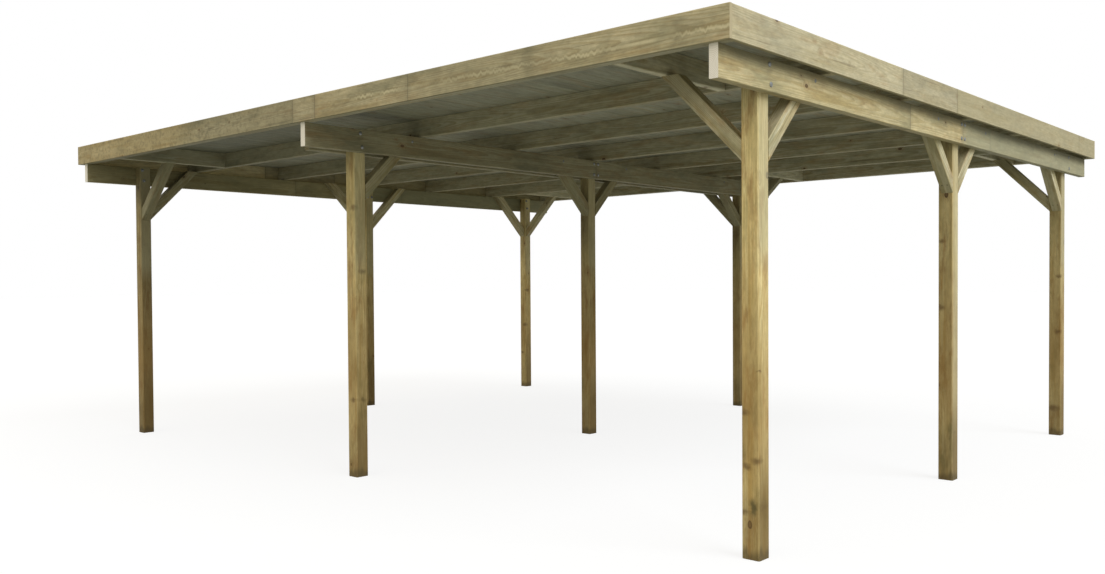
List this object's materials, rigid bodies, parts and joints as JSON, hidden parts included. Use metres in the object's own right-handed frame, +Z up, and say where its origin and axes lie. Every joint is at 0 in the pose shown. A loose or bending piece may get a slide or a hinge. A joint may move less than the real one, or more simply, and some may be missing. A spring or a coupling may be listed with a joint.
{
  "type": "carport",
  "caption": "Flat-roofed open timber carport on square posts, with long beams, rafters, diagonal braces and a boarded roof behind a fascia.",
  "frame": {"origin": "on the ground under the middle of the roof, at the foot of the middle post", "axes": "+X to the right across the two bays, +Y to the back along the beams, +Z up"},
  "size_m": [6.2, 5.6, 2.38],
  "materials": {
    "post_timber": "planed pressure-treated softwood, tan with a green-grey cast, knots and darker feet",
    "beam_timber": "planed pressure-treated softwood, warm tan, pale end grain",
    "rafter_timber": "planed pressure-treated softwood, tan",
    "brace_timber": "planed pressure-treated softwood, tan",
    "fascia_timber": "planed pressure-treated boards, olive tan with knots",
    "roof_boards": "tongued and grooved roof boards, greyish tan, seen from below in shade",
    "roof_felt": "mineral-faced bitumen roofing felt, dark grey",
    "zinc_fasteners": "dull zinc-plated steel: coach bolt heads, nuts and washers, screw heads and felt nails, all added in the visual model"
  },
  "bodies": {
    "root": {"beam_left": "beam_timber", "beam_middle_left": "beam_timber", "beam_middle_right": "beam_timber", "beam_right": "beam_timber", "braces_back_left": "brace_timber", "braces_back_middle": "brace_timber", "braces_back_right": "brace_timber", "braces_centre_left": "brace_timber", "braces_centre_middle": "brace_timber", "braces_centre_right": "brace_timber", "braces_front_left": "brace_timber", "braces_front_middle": "brace_timber", "braces_front_right": "brace_timber", "fascia_back": "fascia_timber", "fascia_front": "fascia_timber", "fascia_left": "fascia_timber", "fascia_right": "fascia_timber", "post_back_left": "post_timber", "post_back_middle": "post_timber", "post_back_right": "post_timber", "post_centre_left": "post_timber", "post_centre_middle": "post_timber", "post_centre_right": "post_timber", "post_front_left": "post_timber", "post_front_middle": "post_timber", "post_front_right": "post_timber", "rafter_1": "rafter_timber", "rafter_2": "rafter_timber", "rafter_3": "rafter_timber", "rafter_4": "rafter_timber", "rafter_5": "rafter_timber", "rafter_6": "rafter_timber", "rafter_7": "rafter_timber", "roof_boards_back": "roof_boards", "roof_boards_front": "roof_boards", "roof_felt": "roof_felt", "trimmers_back": "rafter_timber", "trimmers_front": "rafter_timber"}
  },
  "joints": []
}
